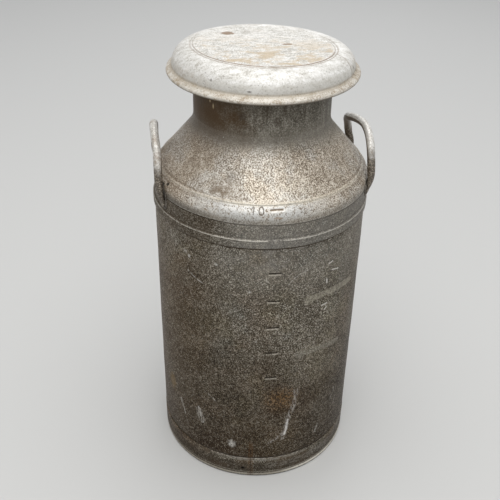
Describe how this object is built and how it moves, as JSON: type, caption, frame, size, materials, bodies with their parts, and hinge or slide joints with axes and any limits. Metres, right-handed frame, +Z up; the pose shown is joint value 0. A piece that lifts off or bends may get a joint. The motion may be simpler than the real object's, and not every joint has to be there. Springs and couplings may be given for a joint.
{
  "type": "milk can",
  "caption": "Tall cylindrical metal milk can with a conical shoulder, short neck, side loop handles and a lift-off mushroom lid, for storing and carrying milk.",
  "frame": {"origin": "centre of the foot, on the surface the can stands on", "axes": "+Z up along the can's axis; the handles are on -X and +X; the gallon marks face -Y"},
  "size_m": [0.3459, 0.3456, 0.7272],
  "materials": {
    "body": "weathered, dull, speckled grey-brown oxide with scratches",
    "shoulder": "weathered, dull, worn lighter than the body",
    "neck": "dark brown-grey weathering, streaked",
    "hoop": "weathered and rust stained, worn bright along its edges",
    "floor": "dull rolled sheet",
    "wire": "dull drawn wire",
    "weld": "rough weld metal",
    "handle": "worn rod, bright on top and dull below",
    "lid": "worn satin, stained cream",
    "lid_inside": "dull sheet"
  },
  "bodies": {
    "can": {"body_shell": "body", "shoulder": "shoulder", "neck_collar": "neck", "mouth_wire": "wire", "foot_hoop": "hoop", "foot_wire": "wire", "bottom_plate": "floor", "shoulder_weld": "weld", "bottom_weld": "weld", "handle_left": "handle", "handle_right": "handle", "weld_left_front": "weld", "weld_left_back": "weld", "weld_right_front": "weld", "weld_right_back": "weld"},
    "lid": {"lid_cap": "lid", "lid_pan": "lid_inside", "lid_rim_wire": "wire"}
  },
  "joints": [
    {"name": "lid_lift", "type": "slide", "parent": "can", "child": "lid", "axis": [0, 0, 1], "range_m": [0, 0.3]}
  ]
}
